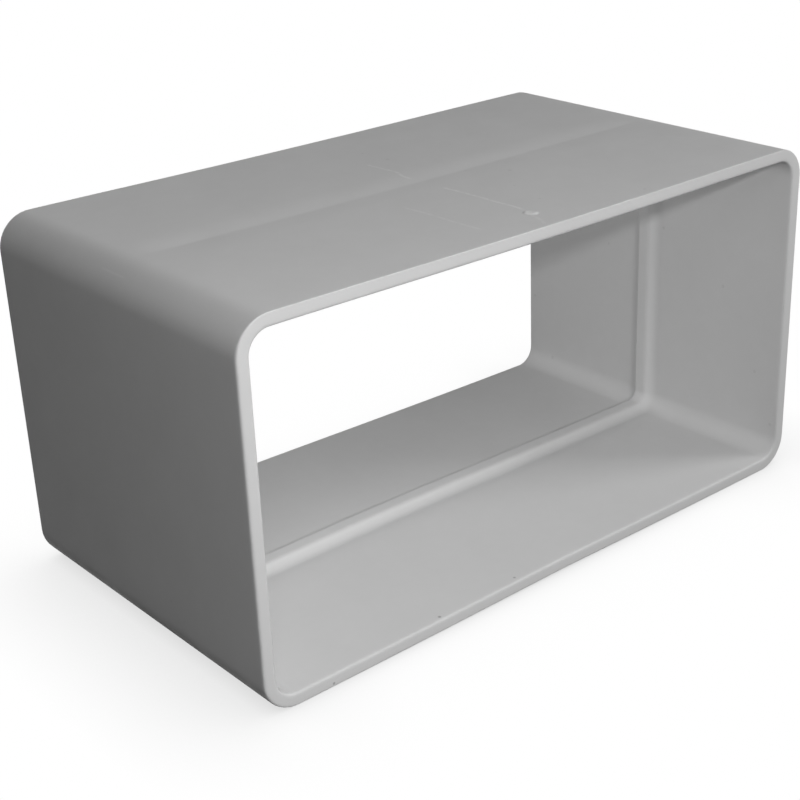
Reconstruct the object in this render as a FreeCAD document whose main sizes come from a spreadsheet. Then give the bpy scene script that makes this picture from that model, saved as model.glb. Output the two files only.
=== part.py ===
import FreeCAD, Part
import math
import os

import Sketcher

# Flat-channel duct connector: one moulded sleeve that joins two rectangular ducts end to end.
# X runs across the duct, Y along the air path and Z up. The origin is under the middle of the
# sleeve, on the level that it rests on. The end with the gate mark faces -Y.

# Driving dimensions, in millimetres and degrees.
SIZES = {
    "duct_wide": 110.0,  # outside of the duct that pushes in, across
    "duct_high": 54.0,  # outside of the duct that pushes in, upwards
    "gap_wide": 0.3,  # clearance at the mouth, each side
    "gap_high": 0.35,  # clearance at the mouth, above and below
    "wall_thick": 2.1,  # wall at the mouth
    "sleeve_long": 62.7,  # whole length along the air path
    "outer_corner": 5.5,  # outside corner radius of the section
    "draft_angle": 0.3,  # slope of each socket wall, narrowing inwards
    "stop_web": 1.7,  # thickness of the stop between the sockets' flat ends
    "stop_high": 1.4,  # how far the stop stands in from the socket wall
    "stop_root": 2.6,  # radius between the socket wall and the stop
    "stop_corner": 1.8,  # corner radius of the opening through the stop
    "rim_outside": 0.4,  # rounding of each rim's outer edge
    "rim_inside": 0.5,  # rounding of each rim's inner edge
    "gate_across": 2.0,  # diameter of the mark that the moulding gate left
    "gate_proud": 0.2,  # how far that mark stands out of the top
    "gate_inset": 6.2,  # its distance from the front rim
}

# Sizes that follow from the driving ones.
SOCKET_WIDE = "(Sizes.duct_wide + 2 * Sizes.gap_wide)"
SOCKET_HIGH = "(Sizes.duct_high + 2 * Sizes.gap_high)"
OUTER_WIDE = f"({SOCKET_WIDE} + 2 * Sizes.wall_thick)"
OUTER_HIGH = f"({SOCKET_HIGH} + 2 * Sizes.wall_thick)"
SOCKET_CORNER = "(Sizes.outer_corner - Sizes.wall_thick)"
HALF_LONG = "(Sizes.sleeve_long / 2)"
SOCKET_DEEP = "((Sizes.sleeve_long - Sizes.stop_web) / 2)"
STOP_INSET = f"({SOCKET_DEEP} * tan(Sizes.draft_angle) + Sizes.stop_high)"
STOP_OPEN_WIDE = f"({SOCKET_WIDE} - 2 * {STOP_INSET})"
STOP_OPEN_HIGH = f"({SOCKET_HIGH} - 2 * {STOP_INSET})"
STOP_OPEN_BASE = f"(Sizes.wall_thick + {STOP_INSET})"
GATE_FROM_MIDDLE = f"({HALF_LONG} - Sizes.gate_inset)"

ON_PLANE = 1e-4
START, END, CENTRE = range(1, 4)
ORIGIN_POINT = (-1, START)
HORIZONTAL_AXIS, VERTICAL_AXIS = -1, -2


def make_sheet(doc):
    sheet = doc.addObject("Spreadsheet::Sheet", "Sizes")
    for row, (name, value) in enumerate(SIZES.items(), start=1):
        sheet.set(f"A{row}", name)
        sheet.set(f"B{row}", str(value))
        sheet.setAlias(f"B{row}", name)
    doc.recompute()


def origin_plane(body, role):
    return next(item for item in body.Origin.OriginFeatures if item.Role == role)


def add_sketch(body, name, role, lift=None):
    """A sketch on one of the body's own planes, moved along its normal by the formula lift."""
    sketch = body.newObject("Sketcher::SketchObject", name)
    sketch.AttachmentSupport = [(origin_plane(body, role), "")]
    sketch.MapMode = "FlatFace"
    if lift:
        sketch.setExpression("AttachmentOffset.Base.z", lift)
    return sketch


def value_of(sketch, formula):
    return float(sketch.evalExpression(formula))


def bind(sketch, name, formula, kind, *elements):
    """A dimension of the sketch that takes its value from a formula."""
    index = sketch.addConstraint(Sketcher.Constraint(kind, *elements, value_of(sketch, formula)))
    sketch.renameConstraint(index, name)
    sketch.setExpression(f"Constraints.{name}", formula)


def rounded_rectangle(sketch, wide, high, corner, base=None):
    """A round-cornered rectangle, centred on the vertical axis, its lower side at height base."""
    side = value_of(sketch, wide) / 2
    low = value_of(sketch, base) if base else 0.0
    top = low + value_of(sketch, high)
    radius = value_of(sketch, corner)
    arcs = []
    corners = ((side, low, 1, -1), (side, top, 1, 1), (-side, top, -1, 1), (-side, low, -1, -1))
    for quarter, (x, y, outward_x, outward_y) in enumerate(corners, start=-1):
        centre = FreeCAD.Vector(x - outward_x * radius, y - outward_y * radius, 0)
        circle = Part.Circle(centre, FreeCAD.Vector(0, 0, 1), radius)
        begin = quarter * math.pi / 2
        arcs.append(sketch.addGeometry(Part.ArcOfCircle(circle, begin, begin + math.pi / 2), False))
    lines = []
    for arc, following in zip(arcs, arcs[1:] + arcs[:1]):
        segment = Part.LineSegment(sketch.getPoint(arc, END), sketch.getPoint(following, START))
        line = sketch.addGeometry(segment, False)
        sketch.addConstraint(Sketcher.Constraint("Tangent", arc, END, line, START))
        sketch.addConstraint(Sketcher.Constraint("Tangent", line, END, following, START))
        lines.append(line)
    right, upper, left, lower = lines
    for line in (upper, lower):
        sketch.addConstraint(Sketcher.Constraint("Horizontal", line))
    for line in (right, left):
        sketch.addConstraint(Sketcher.Constraint("Vertical", line))
    for arc in arcs[1:]:
        sketch.addConstraint(Sketcher.Constraint("Equal", arcs[0], arc))
    bind(sketch, "corner", corner, "Radius", arcs[0])
    bind(sketch, "wide", wide, "DistanceX", left, START, right, START)
    bind(sketch, "half", f"{wide} / 2", "DistanceX", *ORIGIN_POINT, right, START)
    bind(sketch, "high", high, "DistanceY", lower, START, upper, START)
    if base:
        bind(sketch, "base", base, "DistanceY", *ORIGIN_POINT, lower, START)
    else:
        on_axis = Sketcher.Constraint("PointOnObject", lower, START, HORIZONTAL_AXIS)
        sketch.addConstraint(on_axis)


def add_feature(body, kind, name, sketch, **formulas):
    """A pad or pocket of the sketch, its properties bound to formulas."""
    feature = body.newObject(f"PartDesign::{kind}", name)
    feature.Profile = sketch
    for key, formula in formulas.items():
        feature.setExpression(key, formula)
    return feature


def face_across(shape, level):
    """The flat face square to the air path at Y = level."""
    for face in shape.Faces:
        box = face.BoundBox
        if abs(box.YMin - level) < ON_PLANE and abs(box.YMax - level) < ON_PLANE:
            return face
    raise ValueError(f"no face at Y = {level}")


def edge_names(shape, loop):
    """The names, in the whole shape, of the edges of one loop."""
    return [
        f"Edge{number}"
        for number, edge in enumerate(shape.Edges, start=1)
        if any(edge.isSame(other) for other in loop.Edges)
    ]


def round_edges(body, name, base, loop, size):
    fillet = body.newObject("PartDesign::Fillet", name)
    fillet.Base = (base, edge_names(base.Shape, loop))
    fillet.setExpression("Radius", f"Sizes.{size}")
    return fillet


def make_half_sleeve(doc, body):
    """The front half: a block with a drafted socket, the stop at its end and a rounded rim."""
    section = add_sketch(body, "outer_section", "XZ_Plane")
    rounded_rectangle(section, OUTER_WIDE, OUTER_HIGH, "Sizes.outer_corner")
    block = add_feature(body, "Pad", "outer_half", section, Length=HALF_LONG)
    doc.recompute()

    mouth = add_sketch(body, "socket_mouth", "XZ_Plane", lift=HALF_LONG)
    rounded_rectangle(mouth, SOCKET_WIDE, SOCKET_HIGH, SOCKET_CORNER, "Sizes.wall_thick")
    draft = "-Sizes.draft_angle"
    socket = add_feature(body, "Pocket", "socket", mouth, Length=SOCKET_DEEP, TaperAngle=draft)
    doc.recompute()
    check_removed(block, socket)

    # The stop's face is lower than this radius, so it is all curve from the wall to the opening.
    socket_end = face_across(socket.Shape, -value_of(mouth, "Sizes.stop_web / 2"))
    root = round_edges(body, "stop_root", socket, socket_end.OuterWire, "stop_root")
    doc.recompute()

    opening = add_sketch(body, "stop_opening", "XZ_Plane")
    stop_sizes = (STOP_OPEN_WIDE, STOP_OPEN_HIGH, "Sizes.stop_corner", STOP_OPEN_BASE)
    rounded_rectangle(opening, *stop_sizes)
    through = add_feature(body, "Pocket", "air_path", opening)
    through.Type = "ThroughAll"
    through.Reversed = True
    doc.recompute()
    check_removed(root, through)

    rim_level = -value_of(mouth, HALF_LONG)
    rim = face_across(through.Shape, rim_level)
    outside = round_edges(body, "rim_outside", through, rim.OuterWire, "rim_outside")
    doc.recompute()
    rim = face_across(outside.Shape, rim_level)
    inner_loop = next(wire for wire in rim.Wires if not wire.isSame(rim.OuterWire))
    round_edges(body, "rim_inside", outside, inner_loop, "rim_inside")
    doc.recompute()


def check_removed(before, after):
    if after.Shape.Volume >= before.Shape.Volume:
        raise ValueError(f"{after.Name} removed nothing")


def add_back_half(doc, body):
    """The back half is the front one, mirrored across the middle of the stop."""
    mirror = body.newObject("PartDesign::Mirrored", "both_halves")
    mirror.TransformMode = "Whole shape"
    mirror.MirrorPlane = (origin_plane(body, "XZ_Plane"), [""])
    body.Tip = mirror
    doc.recompute()


def add_gate_mark(doc, body):
    """The low round mark on top, on the centre line near the front rim."""
    sketch = add_sketch(body, "gate_outline", "XY_Plane", lift=OUTER_HIGH)
    radius = value_of(sketch, "Sizes.gate_across / 2")
    centre = FreeCAD.Vector(0, -value_of(sketch, GATE_FROM_MIDDLE), 0)
    circle = sketch.addGeometry(Part.Circle(centre, FreeCAD.Vector(0, 0, 1), radius), False)
    sketch.addConstraint(Sketcher.Constraint("PointOnObject", circle, CENTRE, VERTICAL_AXIS))
    bind(sketch, "across", "Sizes.gate_across", "Diameter", circle)
    bind(sketch, "from_middle", GATE_FROM_MIDDLE, "DistanceY", circle, CENTRE, *ORIGIN_POINT)
    add_feature(body, "Pad", "gate_mark", sketch, Length="Sizes.gate_proud")
    doc.recompute()


def check_document(doc):
    for item in doc.Objects:
        if "Invalid" in item.State or "Error" in item.State:
            raise ValueError(f"{item.Name} failed: {item.State}")
    for body in doc.findObjects("PartDesign::Body"):
        if body.Shape.isNull() or not body.Shape.isValid():
            raise ValueError(f"{body.Label} has no valid shape")


def main():
    doc = FreeCAD.newDocument("duct_connector")
    make_sheet(doc)
    body = doc.addObject("PartDesign::Body", "connector_body")
    body.Label = "connector_body"
    body.Placement = FreeCAD.Placement()
    make_half_sleeve(doc, body)
    add_back_half(doc, body)
    add_gate_mark(doc, body)
    doc.recompute()
    check_document(doc)
    os.makedirs("parts", exist_ok=True)
    body.Shape.exportStep(f"parts/{body.Label}.step")


main()
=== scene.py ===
import math

import bpy
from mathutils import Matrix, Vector

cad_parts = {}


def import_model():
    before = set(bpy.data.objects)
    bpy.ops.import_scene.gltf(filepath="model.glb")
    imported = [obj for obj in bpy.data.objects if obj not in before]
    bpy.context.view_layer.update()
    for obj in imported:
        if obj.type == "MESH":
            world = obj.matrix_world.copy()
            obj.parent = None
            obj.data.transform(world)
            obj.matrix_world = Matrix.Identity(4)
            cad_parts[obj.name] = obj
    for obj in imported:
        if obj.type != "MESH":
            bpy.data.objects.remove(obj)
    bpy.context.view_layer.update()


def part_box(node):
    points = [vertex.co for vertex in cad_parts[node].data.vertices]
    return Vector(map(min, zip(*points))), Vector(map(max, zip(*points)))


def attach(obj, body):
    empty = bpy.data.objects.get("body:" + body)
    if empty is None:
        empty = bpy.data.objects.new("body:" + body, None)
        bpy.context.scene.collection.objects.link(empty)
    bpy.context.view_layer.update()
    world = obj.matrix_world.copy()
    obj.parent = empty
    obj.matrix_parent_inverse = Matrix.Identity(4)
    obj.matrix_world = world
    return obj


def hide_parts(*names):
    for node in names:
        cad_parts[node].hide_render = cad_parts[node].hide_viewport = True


# A duct connector moulded in light grey satin plastic, on a white studio floor. X runs across the
# duct, Y along the air path with the gate mark's end at -Y, and Z up. Blender works in metres. The
# sleeve's own sizes are in millimetres, and MM turns them into metres.
MM = 0.001

# The wall's section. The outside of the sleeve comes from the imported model's box.
WALL_THICK = 2.1
OUTER_CORNER = 5.5
DRAFT_ANGLE = 0.3
DRAFT = math.tan(math.radians(DRAFT_ANGLE))
STOP_HIGH = 1.35

# Each side of the stop: how far its flat top reaches from the middle, and its radius at the foot and
# at the top. The front is worn rounder.
STOP_SIDES = {"front": (0.75, 2.7, 1.1), "back": (0.82, 3.6, 0.2)}

# The rim's edges are worn soft: how far each reaches, and how close its curve stays to the corner.
# The front rim's outer edge differs from side to side, named by the way that the side faces and in
# the order that the mesh goes round. All curves lie in the last RIM_REACH of the length, which is a
# little glossier too.
RIM_OUTSIDE = {"right": 0.4, "top": 0.2, "left": 0.8, "bottom": 0.5}
RIM_OUTSIDE_BACK = 0.65
RIM_INSIDE = 0.8
RIM_REACH = 1.0
EDGE_FIRMNESS = 2.0

# The torn stub of the gate, the same size as the solid's. Its height is a share of GATE_PROUD: the
# middle's, how much two opposite lips add, which way they lie (radians) and the slope across.
GATE_PROUD = 0.2
GATE_ACROSS = 2.0
GATE_INSET = 6.2
GATE_EDGE = 0.5
GATE_MIDDLE = 0.7
GATE_LIPS, GATE_LIPS_TURN = 0.25, 0.5
GATE_TILT = 0.05

# What cooling did to the long sides: they bow in, each end in its own way. For each end: how far, the
# place along X where it is most, and how round (2) or pointed (1) the bow is there. The larger
# BOW_BLUNT, the blunter its point.
BOWS = {
    "front_top": (0.27, 0.0, 2.0),
    "back_top": (0.21, -8.0, 2.0),
    "front_bottom": (0.34, 1.0, 1.0),
    "back_bottom": (0.66, -16.0, 1.2),
}
BOW_BLUNT = 2.0

# The stop draws a crease into them: its place along Y, how deep it is and how far before it the skin
# starts to sink, how far the skin rises again and over which length, and the fade at the corners.
CREASE_PLACE = -0.9
CREASE_DEEP = 0.05
CREASE_FRONT = 5.0
CREASE_RISE = 0.1
CREASE_BACK = 2.5
CREASE_FADE = 4.0

# Spacing of the mesh's rows and columns, how far the fine ones reach, and the steps of each curve.
ROW_COARSE, ROW_CREASE, ROW_GATE = 2.4, 0.4, 0.14
COLUMN_COARSE = 3.0
GATE_MARGIN = 0.35
CREASE_MARGIN = 9.0
CORNER_STEPS = 14
RIM_STEPS = 10
ROOT_STEPS = 14
EDGE_STEPS = 8

# The plastic. The clouds in its grey are given by their size and how far they swing, as a share of
# the grey, and the grain by its size and height. A lighter or darker mark is a share of the grey too.
PLASTIC_GREY = 0.6
SPECULAR = 0.04
ROUGHNESS = 0.5
GLOSS_PATCH, GLOSS_SWING = 6.0, 0.25
RIM_POLISH = 0.06
CLOUDS = ((2.2, 0.025), (9.0, 0.035), (30.0, 0.03))
GRAIN = ((0.5, 0.006), (1.6, 0.014), (9.0, 0.06))
NOISE_ROUGHNESS = 0.55

# Light lines that the melt left on the top: middle along X, strength, and the way as (y, x). Each is
# full within LINE_CORE of its half width LINE_WIDE, swings less than half of LINE_SWING to a side,
# fades over LINE_FADE at its ends and is broken up by patches: noise from LINE_THIN to LINE_THICK
# makes it LINE_FAINT to fully strong.
FLOW_LINES = (
    (0.0, 1.0, ((-24.0, 0.1), (-22.5, 0.48), (-20.3, 0.5), (-17.2, 0.36), (-11.8, 0.24), (-6.5, -0.1))),
    (0.0, 0.8, ((2.0, -0.5), (3.3, -0.47), (5.9, 0.25), (9.6, 0.0), (12.3, -0.1))),
    (-10.8, 0.5, ((-25.0, 0.3), (-19.9, 0.0), (-15.0, 0.0), (-10.3, -0.4))),
    (-1.6, 0.5, ((-30.2, -0.6), (-27.9, 0.5), (-27.0, 0.7))),
)
LINE_WIDE, LINE_CORE = 0.45, 0.25
LINE_SWING = 4.0
LINE_FADE = 1.0
LINE_PATCH = 1.2
LINE_THIN, LINE_THICK, LINE_FAINT = -0.12, 0.1, 0.35
LINE_LIGHT = 0.14
LINE_RAISED = 0.008

# Marks on the skin reach this far in from the outer face, and those on the stop begin there.
SKIN = 1.5

# The torn stub is lighter and duller, and on top of that it has a painted highlight that grows towards
# its left. Its edge fades between
# STUB_OUTER outside its rim and STUB_INNER inside it.
STUB_LIGHT, STUB_ROUGH = 0.24, 0.15
STUB_OUTER, STUB_INNER = 0.15, 0.1
STUB_RIGHT, STUB_LEFT, STUB_FAINT = 1.2, -1.0, 0.35

# The crease's shading is painted: a painted light band behind it and a faint painted shade before it.
# Each band is none, full, full and none again at four distances behind the crease, and both fade out
# towards the sides.
CREASE_PAINTED_LIGHT, CREASE_PAINTED_LIGHT_BAND = 0.055, (-0.1, 0.8, 1.6, 7.0)
CREASE_PAINTED_SHADE, CREASE_PAINTED_SHADE_BAND = 0.015, (-5.0, -1.2, -0.5, 0.3)
CREASE_FULL_WIDE, CREASE_NONE_WIDE = 46.0, 53.0

# The stop is painted lighter: a painted highlight on it.
STOP_PAINTED_HIGHLIGHT = 0.05
STOP_FROM, STOP_FULL = 3.7, 2.0

# Dark specks: those that show most, by place and radius, and darker nicks at the rim. Each is full
# within SPOT_CORE of its radius.
SPECKS = (
    (4.3, 13.0, 58.7, 0.5),
    (3.8, 19.0, 58.7, 0.35),
    (8.8, -1.3, 58.7, 0.3),
    (8.2, -13.2, 58.6, 0.3),
    (6.0, -21.0, 58.6, 0.3),
    (17.6, 12.4, 58.7, 0.3),
    (55.1, 24.7, 4.7, 0.5),
)
NICKS = (
    (-24.8, -30.5, 2.2, 0.35),
    (-8.9, -30.25, 2.3, 0.3),
    (-45.7, -31.35, 0.6, 0.3),
)
SPECK_DARK = -0.08
NICK_DARK = -0.4
SPECK_DEEP = 0.01
SPOT_CORE = 0.4

# Random dust: a speck in this share of the cells of a loose grid.
DUST_APART = 7.0
DUST_SHARE = 0.5
DUST_RADIUS = 0.35

# Camera, solved from the edges of the sleeve in the photograph. Its place is in metres and its turn
# in degrees.
CAMERA_PLACE = (-0.15565, -0.183319, 0.12778)
CAMERA_TURN = (65.9113, 1.5225, -41.677)
CAMERA_LENS = 70.2808
CAMERA_SENSOR = 36.0
CAMERA_SHIFT = (-0.05391, 0.00018)
CAMERA_NEAR = 0.01

# Lamps in metres: place, how wide and high, and watts. Each aims at the height of the sleeve's middle,
# the strips straight back and the others at the sleeve.
AIM_HIGH = 0.03
STRIPS = {
    "strip": ((-0.12, -0.217, 0.16), (0.19, 0.012), 0.294),
    "strip_right": ((0.2, -0.217, 0.16), (0.15, 0.012), 0.084),
}
PANELS = {
    "low": ((-0.1139, -0.2559, 0.1375), (0.04, 0.04), 0.2),
    "high": ((-0.0558, -0.3165, 0.413), (0.2, 0.2), 0.29),
    "right": ((0.6542, -0.4088, 0.4935), (0.3, 0.3), 2.78),
    "inside": ((-0.0405, 0.1512, 0.0633), (0.06, 0.06), 0.082),
}

# The floor, in metres. It lies a hair under the sleeve, so that the two don't share a plane. It is
# white where it is seen, but for a soft shadow, and bounces light like a dull grey.
FLOOR_SIZE = 6.0
FLOOR_DROP = 0.00005
FLOOR_DULL = (0.1, 0.1, 0.1, 1.0)
SHADOW_REACH = 0.022
SHADOW_DEEP = 0.35
SHADOW_RAYS = 8
WHITE = (1.0, 1.0, 1.0, 1.0)


def add_object(name, data):
    thing = bpy.data.objects.new(name, data)
    bpy.context.scene.collection.objects.link(thing)
    return thing


# The sleeve.


def spread(start, end, spacing):
    """Evenly spaced values from start to just before end."""
    steps = max(1, round(abs(end - start) / spacing))
    return [start + (end - start) * step / steps for step in range(steps)]


def spread_through(*stretches):
    """The values of several stretches that follow on, each (start, end, spacing)."""
    return [value for stretch in stretches for value in spread(*stretch)]


def arc(middle_along, middle_in, radius, start, end, steps):
    """Points of the section on an arc. The angles are in degrees from +Y towards the inside."""
    turns = [math.radians(start + (end - start) * step / steps) for step in range(steps + 1)]
    return [(middle_along + radius * math.cos(t), middle_in + radius * math.sin(t)) for t in turns]


def weighted(shares, values):
    return sum(share * value for share, value in zip(shares, values)) / sum(shares)


def rounded_edge(before, edge, after):
    """Points on a small curve that takes the place of a sharp edge."""
    points = []
    for step in range(RIM_STEPS + 1):
        t = step / RIM_STEPS
        shares = ((1 - t) ** 2, 2 * EDGE_FIRMNESS * t * (1 - t), t**2)
        points.append(tuple(weighted(shares, values) for values in zip(before, edge, after)))
    return points


def socket_wall(along, half_long):
    """How far the front socket's wall lies in from the outer face."""
    return WALL_THICK + (along + half_long) * DRAFT


def rim_section(half_long, outside):
    """Round the front rim, from the outer face to the socket's wall."""
    rim = -half_long
    within = rim + RIM_INSIDE
    wall = socket_wall(within, half_long)
    outer_edge = ((rim + outside, 0.0), (rim, 0.0), (rim, outside))
    inner_edge = ((rim, WALL_THICK - RIM_INSIDE), (rim, WALL_THICK), (within, wall))
    return rounded_edge(*outer_edge) + rounded_edge(*inner_edge)


def stop_section(half_long, flat, foot, top):
    """From the front socket's wall up to the edge of the stop's flat top."""
    slope = math.acos(1 - STOP_HIGH / (foot + top))
    foot_along = -flat - (foot + top) * math.sin(slope)
    foot_in = socket_wall(foot_along, half_long)
    turn = math.degrees(slope)
    rise = arc(foot_along, foot_in + foot, foot, -90, turn - 90, ROOT_STEPS)
    crest = arc(-flat, foot_in + STOP_HIGH - top, top, turn + 90, 90, EDGE_STEPS)
    return rise[:-1] + crest


def end_section(half_long, outside, stop_side):
    """From the outer face round the front rim, along the socket and onto the stop.

    Each point is (place along Y, how far it lies in from the outer face)."""
    stop = stop_section(half_long, *stop_side)
    foot_along = stop[0][0]
    rows = spread(-half_long + RIM_REACH, foot_along, ROW_COARSE)
    socket = [(along, socket_wall(along, half_long)) for along in rows]
    return rim_section(half_long, outside) + socket + stop


def wall_section(half_long, outside):
    """The closed outline of the wall's section, from the back end of the outer face."""
    gate = -half_long + GATE_INSET
    reach = GATE_ACROSS / 2 + GATE_MARGIN
    end = half_long - RIM_REACH
    outer = spread_through(
        (end, CREASE_MARGIN, ROW_COARSE),
        (CREASE_MARGIN, CREASE_PLACE, ROW_CREASE),
        (CREASE_PLACE, -CREASE_MARGIN, ROW_CREASE),
        (-CREASE_MARGIN, gate + reach, ROW_COARSE),
        (gate + reach, gate - reach, ROW_GATE),
        (gate - reach, -end, ROW_COARSE),
    )
    front = end_section(half_long, outside, STOP_SIDES["front"])
    back = end_section(half_long, RIM_OUTSIDE_BACK, STOP_SIDES["back"])
    back = [(-along, depth) for along, depth in reversed(back)]
    return [(along, 0.0) for along in outer] + [(-end, 0.0)] + front + back


def stations(half_wide, high):
    """Once round the duct: a point of the rectangle through the corner centres, and the way out."""
    side = half_wide - OUTER_CORNER
    low, top = OUTER_CORNER, high - OUTER_CORNER
    reach = GATE_ACROSS / 2 + GATE_MARGIN
    upper = spread_through(
        (side, reach, COLUMN_COARSE), (reach, -reach, ROW_GATE), (-reach, -side, COLUMN_COARSE)
    )
    lower = spread(-side, side, COLUMN_COARSE)
    upright = spread(low, top, COLUMN_COARSE)
    sides = (
        ([(side, z) for z in upright], (side, top), 0),
        ([(x, top) for x in upper], (-side, top), 90),
        ([(-side, top + low - z) for z in upright], (-side, low), 180),
        ([(x, low) for x in lower], (side, low), 270),
    )
    found = []
    for points, corner, turn in sides:
        found += [(*point, turn) for point in points]
        found += [(*corner, turn + 90 * step / CORNER_STEPS) for step in range(CORNER_STEPS)]
    return found


def bow_of_end(name, x, half_straight):
    """How far one end of a long side has bowed in at x: nothing at the corners."""
    deep, middle, roundness = BOWS[name]
    reach = half_straight + (middle if x < middle else -middle)
    away = math.hypot(x - middle, BOW_BLUNT) - BOW_BLUNT
    return deep * (1 - min(1.0, away / reach) ** roundness) ** 2


def bow_at(x, y, side, half_straight, half_long):
    """The bow of one end passes evenly into that of the other."""
    front = bow_of_end(f"front_{side}", x, half_straight)
    back = bow_of_end(f"back_{side}", x, half_straight)
    return front + (back - front) * (y / half_long + 1) / 2


def crease_at(x, y, half_straight, half_long):
    """Height of the skin round the line that the stop draws into a long side."""
    fade = min(1.0, max(0.0, (half_straight - abs(x)) / CREASE_FADE))
    away = y - CREASE_PLACE
    if away < 0:
        height = -CREASE_DEEP * max(0.0, 1 + away / CREASE_FRONT) ** 2
    else:
        settled = 1 - math.exp(-away / CREASE_BACK)
        rise = CREASE_RISE * (1 - away / (half_long - CREASE_PLACE))
        height = rise * settled - CREASE_DEEP * (1 - settled)
    return height * fade * fade * (3 - 2 * fade)


def gate_at(x, y, gate):
    """Height of the torn stub of the moulding gate, with two lips and a hollow between them."""
    radius = math.hypot(x, y - gate)
    edge = min(1.0, max(0.0, (GATE_ACROSS / 2 - radius) / GATE_EDGE + 0.5))
    out = radius / (GATE_ACROSS / 2)
    lips = GATE_LIPS * out**2 * math.cos(2 * math.atan2(x, y - gate) + GATE_LIPS_TURN)
    return GATE_PROUD * edge * (GATE_MIDDLE + lips - GATE_TILT * x)


def outer_edge_at(turn):
    """The reach of the rim's outer edge: that of a side, and in a corner a blend of two sides."""
    side, share = divmod(turn, 90)
    sides = list(RIM_OUTSIDE.values())
    here, following = sides[int(side)], sides[(int(side) + 1) % len(sides)]
    return here + (following - here) * share / 90


def sleeve_points(around, half_wide, high, half_long):
    half_straight = half_wide - OUTER_CORNER
    gate = -half_long + GATE_INSET
    points = []
    for core_x, core_z, turn in around:
        out_x, out_z = math.cos(math.radians(turn)), math.sin(math.radians(turn))
        long_side = {90: "top", 270: "bottom"}.get(turn)
        for along, depth in wall_section(half_long, outer_edge_at(turn)):
            x = core_x + out_x * (OUTER_CORNER - depth)
            z = core_z + out_z * (OUTER_CORNER - depth)
            if long_side:
                height = -bow_at(x, along, long_side, half_straight, half_long)
                if depth == 0:
                    height += crease_at(x, along, half_straight, half_long)
                if depth == 0 and long_side == "top":
                    height += gate_at(x, along, gate)
                elif depth == 0:
                    height = min(height, 0.0)
                z += out_z * height
            points.append((x * MM, along * MM, z * MM))
    return points


def make_sleeve(low, high):
    half_wide, half_long = high.x / MM, high.y / MM
    outer_high = (high.z - low.z) / MM - GATE_PROUD
    around = stations(half_wide, outer_high)
    points = sleeve_points(around, half_wide, outer_high, half_long)
    turns = len(around)
    rows = len(points) // turns
    faces = []
    for i in range(turns):
        following = (i + 1) % turns
        for j in range(rows):
            beyond = (j + 1) % rows
            here, there = i * rows, following * rows
            faces.append((here + j, there + j, there + beyond, here + beyond))
    mesh = bpy.data.meshes.new("moulded_sleeve")
    mesh.from_pydata(points, [], faces)
    mesh.shade_smooth()
    return add_object("moulded_sleeve", mesh)


# Materials.


def new_material(name):
    material = bpy.data.materials.new(name)
    material.use_nodes = True
    tree = material.node_tree
    tree.nodes.clear()
    return material, tree


def add_node(tree, kind, inputs=(), **settings):
    """A node with its settings, and a number, a triple or another node's output for each input."""
    node = tree.nodes.new(kind)
    for name, value in settings.items():
        setattr(node, name, value)
    for socket, value in dict(inputs).items():
        if isinstance(value, bpy.types.NodeSocket):
            tree.links.new(value, node.inputs[socket])
        else:
            node.inputs[socket].default_value = value
    return node


def combine(tree, operation, *values):
    return add_node(tree, "ShaderNodeMath", enumerate(values), operation=operation).outputs[0]


def product(tree, value, *others):
    for other in others:
        value = combine(tree, "MULTIPLY", value, other)
    return value


def total(tree, value, *others):
    for other in others:
        value = combine(tree, "ADD", value, other)
    return value


def remap(tree, value, start, end, low=0.0, high=1.0):
    """Goes smoothly from low to high as the value goes from start to end."""
    inputs = {"Value": value, "From Min": start, "From Max": end, "To Min": low, "To Max": high}
    node = add_node(tree, "ShaderNodeMapRange", inputs, interpolation_type="SMOOTHSTEP")
    return node.outputs["Result"]


def remap_straight(tree, value, start, end):
    """Goes evenly from 0 to 1 as the value goes from start to end."""
    inputs = {"Value": value, "From Min": start, "From Max": end}
    return add_node(tree, "ShaderNodeMapRange", inputs).outputs["Result"]


def noise(tree, place, size):
    """Soft random values about 0, with bumps of the given size in millimetres."""
    inputs = {"Vector": place, "Scale": 1 / size, "Roughness": NOISE_ROUGHNESS}
    value = add_node(tree, "ShaderNodeTexNoise", inputs).outputs[0]
    return combine(tree, "SUBTRACT", value, 0.5)


def place_in_mm(tree):
    """The place on the object in millimetres, as a vector and as its three parts."""
    spot = add_node(tree, "ShaderNodeTexCoord").outputs["Object"]
    place = add_node(tree, "ShaderNodeVectorMath", {0: spot, 3: 1 / MM}, operation="SCALE").outputs[0]
    parts = add_node(tree, "ShaderNodeSeparateXYZ", {0: place}).outputs
    return place, parts[0], parts[1], parts[2]


def curve_along(tree, y, points):
    """A value that follows points (y, value) along a curve."""
    start, end = points[0][0], points[-1][0]
    node = tree.nodes.new("ShaderNodeFloatCurve")
    tree.links.new(remap_straight(tree, y, start, end), node.inputs["Value"])
    curve = node.mapping.curves[0]
    for index, (along, value) in enumerate(points):
        spot = ((along - start) / (end - start), 0.5 + value / LINE_SWING)
        if index in (0, len(points) - 1):
            curve.points[-1 if index else 0].location = spot
        else:
            curve.points.new(*spot)
    node.mapping.update()
    swing = combine(tree, "SUBTRACT", node.outputs[0], 0.5)
    return product(tree, swing, LINE_SWING)


def flow_line(tree, x, y, middle, points):
    """1 on a thin line along the top that the melt left, fading at its ends."""
    way = total(tree, curve_along(tree, y, points), middle)
    off = combine(tree, "ABSOLUTE", combine(tree, "SUBTRACT", x, way))
    line = remap(tree, off, LINE_WIDE, LINE_CORE * LINE_WIDE)
    start, end = points[0][0], points[-1][0]
    begin = remap(tree, y, start - LINE_FADE, start)
    finish = remap(tree, y, end + LINE_FADE, end)
    return product(tree, line, begin, finish)


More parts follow.
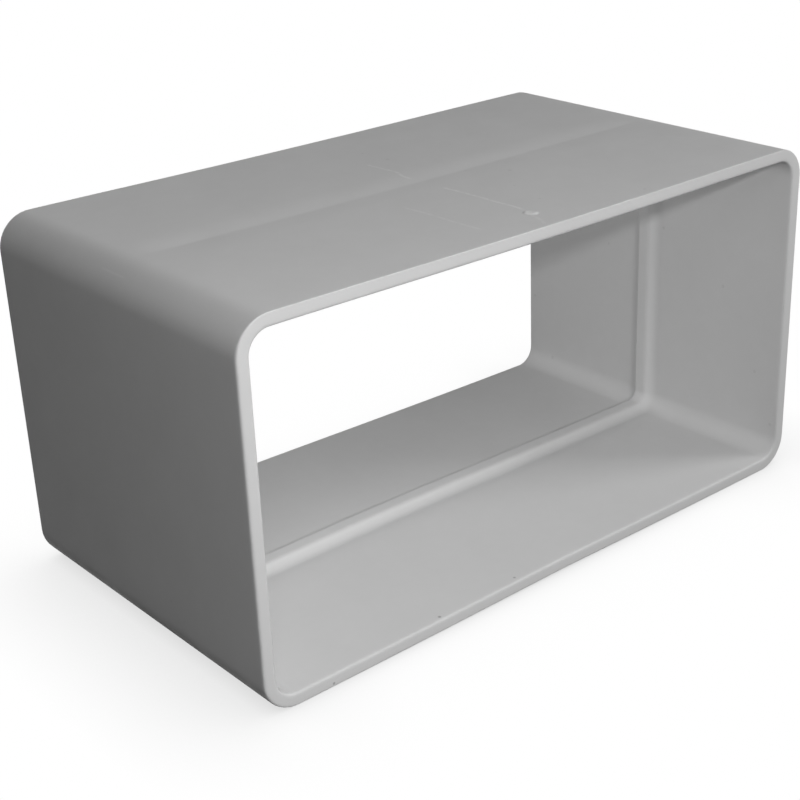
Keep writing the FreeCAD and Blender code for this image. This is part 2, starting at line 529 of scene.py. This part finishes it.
def flow_lines(tree, place, x, y):
    """How strong the flow lines are: all of them together, broken up by patches."""
    lines = []
    for middle, strength, points in FLOW_LINES:
        lines.append(product(tree, flow_line(tree, x, y, middle, points), strength))
    patches = remap(tree, noise(tree, place, LINE_PATCH), LINE_THIN, LINE_THICK, LINE_FAINT, 1.0)
    return product(tree, total(tree, *lines), patches)


def distance(tree, place, spot):
    node = add_node(tree, "ShaderNodeVectorMath", {0: place, 1: spot}, operation="DISTANCE")
    return node.outputs["Value"]


def spots(tree, place, marks):
    """1 on each mark, given as its place and radius in millimetres."""
    found = None
    for *spot, radius in marks:
        mark = remap(tree, distance(tree, place, spot), radius, SPOT_CORE * radius)
        found = combine(tree, "MAXIMUM", found, mark) if found else mark
    return found


def dust(tree, place):
    """1 on small random specks: in some of the cells of a grid, the spot at the cell's point."""
    cells = add_node(tree, "ShaderNodeTexVoronoi", {"Vector": place, "Scale": 1 / DUST_APART})
    off = product(tree, cells.outputs["Distance"], DUST_APART)
    chosen = add_node(tree, "ShaderNodeSeparateColor", {0: cells.outputs["Color"]}).outputs[0]
    radius = remap(tree, chosen, 1 - DUST_SHARE, 1.0, 0.0, DUST_RADIUS)
    return combine(tree, "GREATER_THAN", radius, off)


def crease_band(tree, y, band):
    """1 on a band along the crease, given as four distances behind it."""
    begin, full, last, end = [CREASE_PLACE + away for away in band]
    return product(tree, remap(tree, y, begin, full), remap(tree, y, end, last))


def crease_painted_shading(tree, x, y):
    """Painted light and shade along the crease: the share by which the skin is painted lighter or
    darker there.
    """
    light = product(tree, crease_band(tree, y, CREASE_PAINTED_LIGHT_BAND), CREASE_PAINTED_LIGHT)
    dark = product(tree, crease_band(tree, y, CREASE_PAINTED_SHADE_BAND), CREASE_PAINTED_SHADE)
    tone = combine(tree, "SUBTRACT", light, dark)
    across = combine(tree, "ABSOLUTE", x)
    return product(tree, tone, remap(tree, across, CREASE_NONE_WIDE, CREASE_FULL_WIDE))


def gate_stub(tree, place, gate_place):
    """1 on the torn stub of the gate."""
    rim = GATE_ACROSS / 2
    return remap(tree, distance(tree, place, gate_place), rim + STUB_OUTER, rim - STUB_INNER)


def stop_mask(tree, x, y, z, half_wide, top):
    """1 on the stop: near the middle of the length, and further in than the skin."""
    near = remap(tree, combine(tree, "ABSOLUTE", y), STOP_FROM, STOP_FULL)
    between = combine(tree, "LESS_THAN", combine(tree, "ABSOLUTE", x), half_wide - SKIN)
    above = combine(tree, "GREATER_THAN", z, SKIN)
    below = combine(tree, "LESS_THAN", z, top - SKIN)
    return product(tree, near, between, above, below)


def toned_grey(tree, place, tones):
    """The clouded grey, lighter or darker by a share on each mask."""
    grey = PLASTIC_GREY
    for size, depth in CLOUDS:
        grey = total(tree, grey, product(tree, noise(tree, place, size), depth * PLASTIC_GREY))
    for mask, share in tones:
        grey = product(tree, grey, total(tree, product(tree, mask, share), 1.0))
    return grey


def plastic_roughness(tree, place, y, half_long, stub):
    """Patchy, lower at the rims and higher on the torn stub."""
    rim = remap(tree, combine(tree, "ABSOLUTE", y), half_long - RIM_REACH, half_long)
    patches = product(tree, noise(tree, place, GLOSS_PATCH), GLOSS_SWING)
    polish, torn = product(tree, rim, -RIM_POLISH), product(tree, stub, STUB_ROUGH)
    return total(tree, patches, ROUGHNESS, polish, torn)


def plastic_relief(tree, place, lines, specks):
    """The grain, the raised flow lines and the pits of the specks, as a normal."""
    height = product(tree, lines, LINE_RAISED)
    for size, high in GRAIN:
        height = total(tree, height, product(tree, noise(tree, place, size), high))
    height = total(tree, height, product(tree, specks, -SPECK_DEEP))
    return add_node(tree, "ShaderNodeBump", {"Height": height, "Distance": MM}).outputs[0]


def plastic_material(gate_place, half_wide, half_long, top):
    """Satin moulded plastic: faint clouds in its grey and gloss, fine relief, flow lines and specks."""
    material, tree = new_material("plastic")
    place, x, y, z = place_in_mm(tree)
    on_top = combine(tree, "GREATER_THAN", z, top - SKIN)

    lines = product(tree, flow_lines(tree, place, x, y), on_top)
    stub = gate_stub(tree, place, gate_place)
    # painted highlight on the stub, stronger towards its left
    stub_leftward_highlight = remap(tree, x, STUB_RIGHT, STUB_LEFT, STUB_FAINT, 1.0)
    specks = combine(tree, "MAXIMUM", spots(tree, place, SPECKS), dust(tree, place))
    tones = (
        (lines, LINE_LIGHT),
        (product(tree, stub, stub_leftward_highlight), STUB_LIGHT),
        (specks, SPECK_DARK),
        (spots(tree, place, NICKS), NICK_DARK),
        # painted light and shade along the crease on the top
        (crease_painted_shading(tree, x, y), on_top),
        # painted highlight on the stop
        (stop_mask(tree, x, y, z, half_wide, top), STOP_PAINTED_HIGHLIGHT),
    )
    grey = toned_grey(tree, place, tones)
    colour = add_node(tree, "ShaderNodeCombineColor", {0: grey, 1: grey, 2: grey}).outputs[0]
    surface = add_node(tree, "ShaderNodeBsdfPrincipled", {
        "Base Color": colour,
        "Roughness": plastic_roughness(tree, place, y, half_long, stub),
        "Specular IOR Level": SPECULAR,
        "Normal": plastic_relief(tree, place, lines, specks),
    })
    add_node(tree, "ShaderNodeOutputMaterial", {"Surface": surface.outputs[0]})
    return material


def seen_as_white(tree):
    """1 for the rays that show the background: straight, mirrored or through glass."""
    path = add_node(tree, "ShaderNodeLightPath").outputs
    seen = combine(tree, "MAXIMUM", path["Is Camera Ray"], path["Is Glossy Ray"])
    return combine(tree, "MAXIMUM", seen, path["Is Transmission Ray"])


def floor_material():
    """White where it is seen, with a soft shadow, and dull where it only bounces light."""
    material, tree = new_material("floor_white")
    reach = {"Distance": SHADOW_REACH}
    openness = add_node(tree, "ShaderNodeAmbientOcclusion", reach, samples=SHADOW_RAYS)
    levels = {"Value": openness.outputs["AO"], "To Min": 1 - SHADOW_DEEP}
    shade = add_node(tree, "ShaderNodeMapRange", levels).outputs["Result"]
    white = add_node(tree, "ShaderNodeEmission", {"Strength": shade}).outputs[0]
    dull = add_node(tree, "ShaderNodeBsdfDiffuse", {"Color": FLOOR_DULL}).outputs[0]
    shaders = {0: seen_as_white(tree), 1: dull, 2: white}
    mix = add_node(tree, "ShaderNodeMixShader", shaders).outputs[0]
    add_node(tree, "ShaderNodeOutputMaterial", {"Surface": mix})
    return material


# The studio.


def add_camera():
    camera = add_object("camera", bpy.data.cameras.new("camera"))
    camera.location = CAMERA_PLACE
    camera.rotation_euler = [math.radians(angle) for angle in CAMERA_TURN]
    camera.data.sensor_width = CAMERA_SENSOR
    camera.data.lens = CAMERA_LENS
    camera.data.shift_x, camera.data.shift_y = CAMERA_SHIFT
    camera.data.clip_start = CAMERA_NEAR
    bpy.context.scene.camera = camera


def add_lamp(name, place, size, watts, aim):
    lamp = add_object(name, bpy.data.lights.new(name, "AREA"))
    lamp.data.shape = "RECTANGLE"
    lamp.data.size, lamp.data.size_y = size
    lamp.data.energy = watts
    lamp.location = place
    lamp.rotation_euler = (Vector(aim) - Vector(place)).to_track_quat("-Z", "Y").to_euler()
    lamp.visible_camera = False


def add_lamps():
    for name, (place, size, watts) in STRIPS.items():
        add_lamp(name, place, size, watts, (place[0], 0, AIM_HIGH))
    for name, (place, size, watts) in PANELS.items():
        add_lamp(name, place, size, watts, (0, 0, AIM_HIGH))


def add_floor():
    half = FLOOR_SIZE / 2
    mesh = bpy.data.meshes.new("floor")
    corners = ((-half, -half), (half, -half), (half, half), (-half, half))
    mesh.from_pydata([(x, y, -FLOOR_DROP) for x, y in corners], [], [(0, 1, 2, 3)])
    mesh.materials.append(floor_material())
    add_object("floor", mesh)


def light_world():
    world = bpy.data.worlds.new("world")
    bpy.context.scene.world = world
    world.use_nodes = True
    tree = world.node_tree
    background = tree.nodes["Background"]
    background.inputs["Color"].default_value = WHITE
    tree.links.new(seen_as_white(tree), background.inputs["Strength"])


def main():
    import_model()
    bpy.context.scene.view_settings.view_transform = "Standard"
    add_camera()
    add_lamps()
    add_floor()
    light_world()
    sleeve = make_sleeve(*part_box("connector_body"))
    low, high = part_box("connector_body")
    half_wide, half_long, top = high.x / MM, high.y / MM, high.z / MM - GATE_PROUD
    gate_place = (0.0, -half_long + GATE_INSET, top)
    sleeve.data.materials.append(plastic_material(gate_place, half_wide, half_long, top))
    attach(sleeve, "root")
    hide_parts("connector_body")


main()
